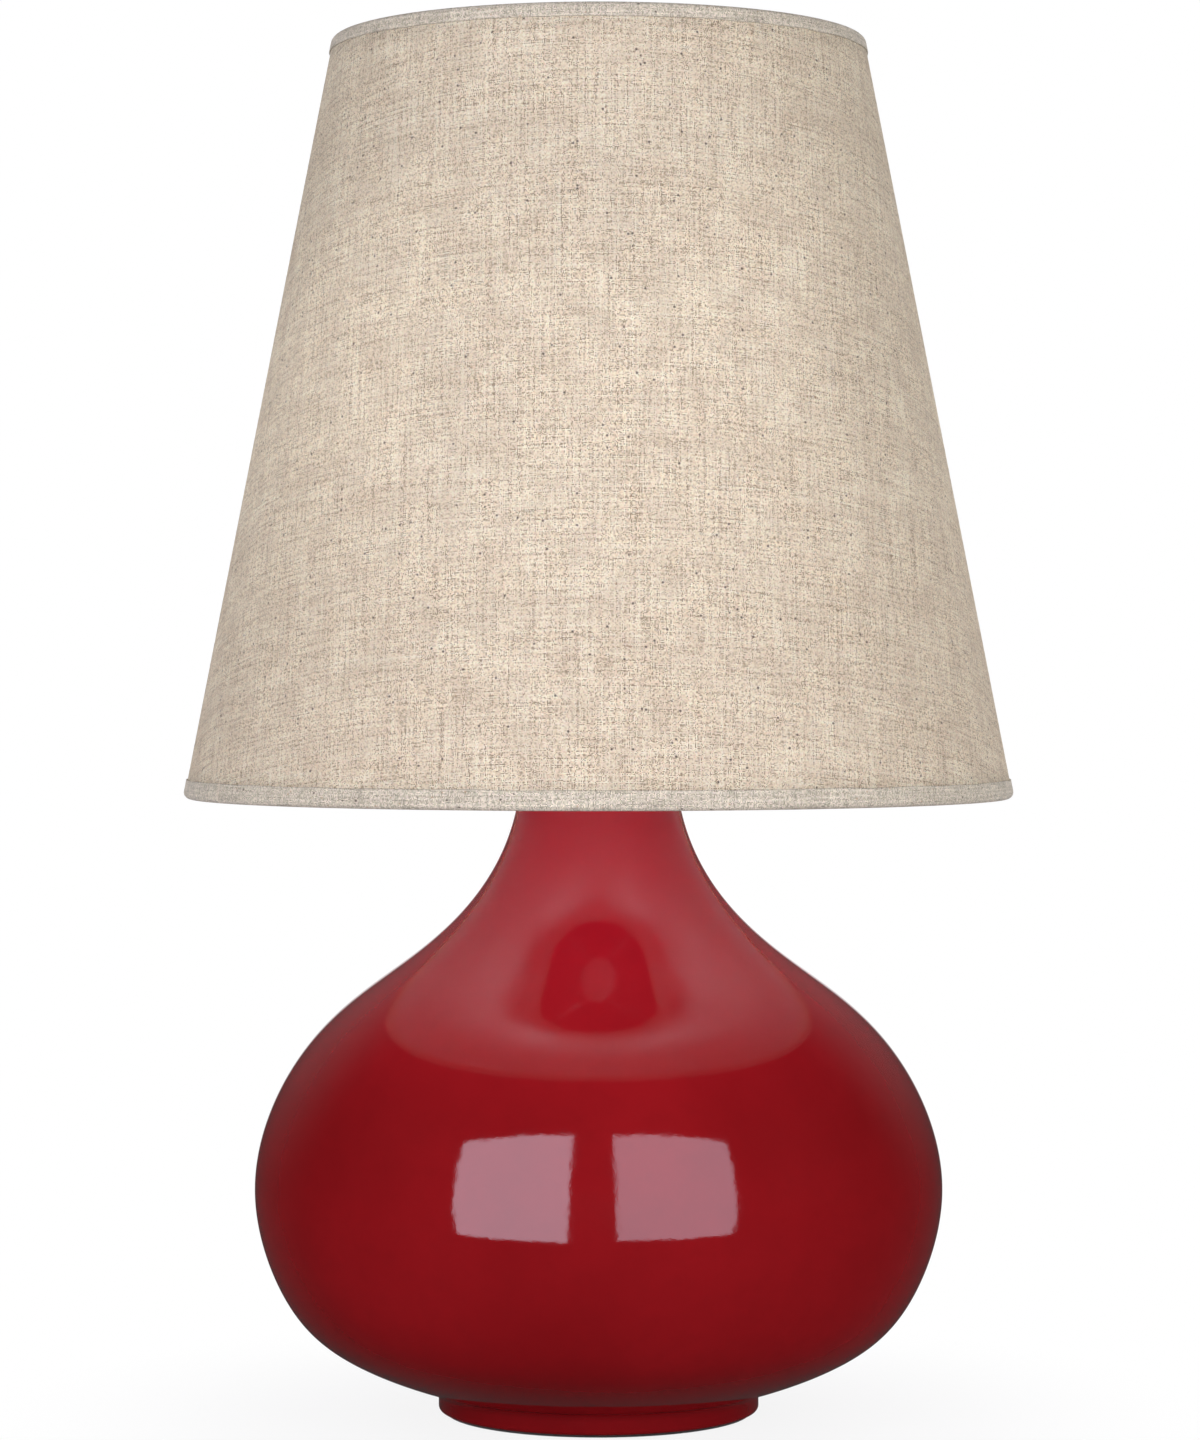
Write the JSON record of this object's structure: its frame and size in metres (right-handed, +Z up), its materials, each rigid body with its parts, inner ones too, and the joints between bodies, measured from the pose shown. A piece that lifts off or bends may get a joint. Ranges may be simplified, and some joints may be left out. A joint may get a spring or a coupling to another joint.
{
  "type": "accent lamp",
  "caption": "Table lamp with a round glazed ceramic body, a narrow neck, a harp with a finial, a turn-switch bulb socket and a tapered linen drum shade.",
  "frame": {"origin": "middle of the felt pad's underside, on the table, on the lamp's upright axis", "axes": "+Z up along the pipe, front of the lamp towards -Y with the switch knob, cord inlet at the back (+Y)"},
  "size_m": [0.3561, 0.3562, 0.5905],
  "materials": {
    "red_glaze": "gloss",
    "felt": "matte",
    "bushing_rubber": "matte",
    "washer_rubber": "matte",
    "zinc_steel": "satin",
    "nickel": "satin",
    "socket_nickel": "satin",
    "card": "matte",
    "phenolic": "gloss",
    "contact_brass": "polished",
    "knob_plastic": "satin",
    "bulb_frost": "satin",
    "bulb_aluminium": "satin",
    "bulb_vitrite": "gloss",
    "clear_glass": "gloss",
    "fine_wire": "satin",
    "linen": "matte",
    "linen_trim": "matte",
    "styrene": "matte",
    "white_wire": "gloss"
  },
  "bodies": {
    "base": {"felt_pad": "felt", "ceramic_body": "red_glaze", "cord_bushing": "bushing_rubber", "rubber_washer": "washer_rubber", "steel_washer": "zinc_steel", "bottom_nut": "zinc_steel", "lamp_pipe": "zinc_steel", "vase_cap": "nickel", "neck_spacer": "nickel", "harp_saddle": "nickel", "saddle_nut": "nickel", "harp_bow": "nickel", "harp_top_block": "nickel", "socket_cap": "socket_nickel", "socket_set_screw": "zinc_steel", "socket_shell": "socket_nickel", "socket_liner": "card", "switch_housing": "phenolic", "terminal_screws": "contact_brass", "screw_shell": "contact_brass", "centre_contact": "contact_brass"},
    "switch": {"switch_shaft": "contact_brass", "switch_knob": "knob_plastic"},
    "left_ferrule": {"left_ferrule": "nickel"},
    "right_ferrule": {"right_ferrule": "nickel"},
    "bulb_thread": {"bulb_tip": "contact_brass"},
    "bulb": {"bulb_glass": "bulb_frost", "bulb_cap": "bulb_aluminium", "bulb_insulator": "bulb_vitrite", "bulb_stem": "clear_glass", "bulb_leads": "fine_wire", "bulb_filament": "fine_wire"},
    "swivel": {"harp_stud": "nickel"},
    "shade": {"shade_linen": "linen", "shade_liner": "styrene", "shade_top_trim": "linen_trim", "shade_bottom_trim": "linen_trim", "shade_top_ring": "white_wire", "shade_bottom_ring": "white_wire", "spider_arms": "white_wire", "spider_hub": "white_wire"},
    "finial_thread": {"finial_bush": "contact_brass"},
    "finial": {"finial_knob": "nickel"}
  },
  "joints": [
    {"name": "switch_turn", "type": "hinge", "parent": "base", "child": "switch", "pos_m": [0, 0, 0.365], "axis": [0, -1, 0], "continuous": true},
    {"name": "left_ferrule_slide", "type": "slide", "parent": "base", "child": "left_ferrule", "axis": [0, 0, 1], "range_m": [0, 0.016]},
    {"name": "right_ferrule_slide", "type": "slide", "parent": "base", "child": "right_ferrule", "axis": [0, 0, 1], "range_m": [0, 0.016]},
    {"name": "bulb_travel", "type": "slide", "parent": "base", "child": "bulb_thread", "axis": [0, 0, 1], "range_m": [0, 0.01454]},
    {"name": "bulb_turn", "type": "hinge", "parent": "bulb_thread", "child": "bulb", "pos_m": [0, 0, 0.4], "axis": [0, 0, 1], "range_deg": [0, 1440]},
    {"name": "shade_turn", "type": "hinge", "parent": "base", "child": "swivel", "pos_m": [0, 0, 0.56], "axis": [0, 0, 1], "continuous": true},
    {"name": "shade_lift", "type": "slide", "parent": "swivel", "child": "shade", "axis": [0, 0, 1], "range_m": [0, 0.32]},
    {"name": "finial_travel", "type": "slide", "parent": "shade", "child": "finial_thread", "axis": [0, 0, 1], "range_m": [0, 0.00849]},
    {"name": "finial_turn", "type": "hinge", "parent": "finial_thread", "child": "finial", "pos_m": [0, 0, 0.575], "axis": [0, 0, 1], "range_deg": [0, 3240]}
  ],
  "couplings": [
    {"joint": "bulb_travel", "follows": "bulb_turn", "m_per_rad": 0.00057773},
    {"joint": "finial_travel", "follows": "finial_turn", "m_per_rad": 0.00014972}
  ]
}
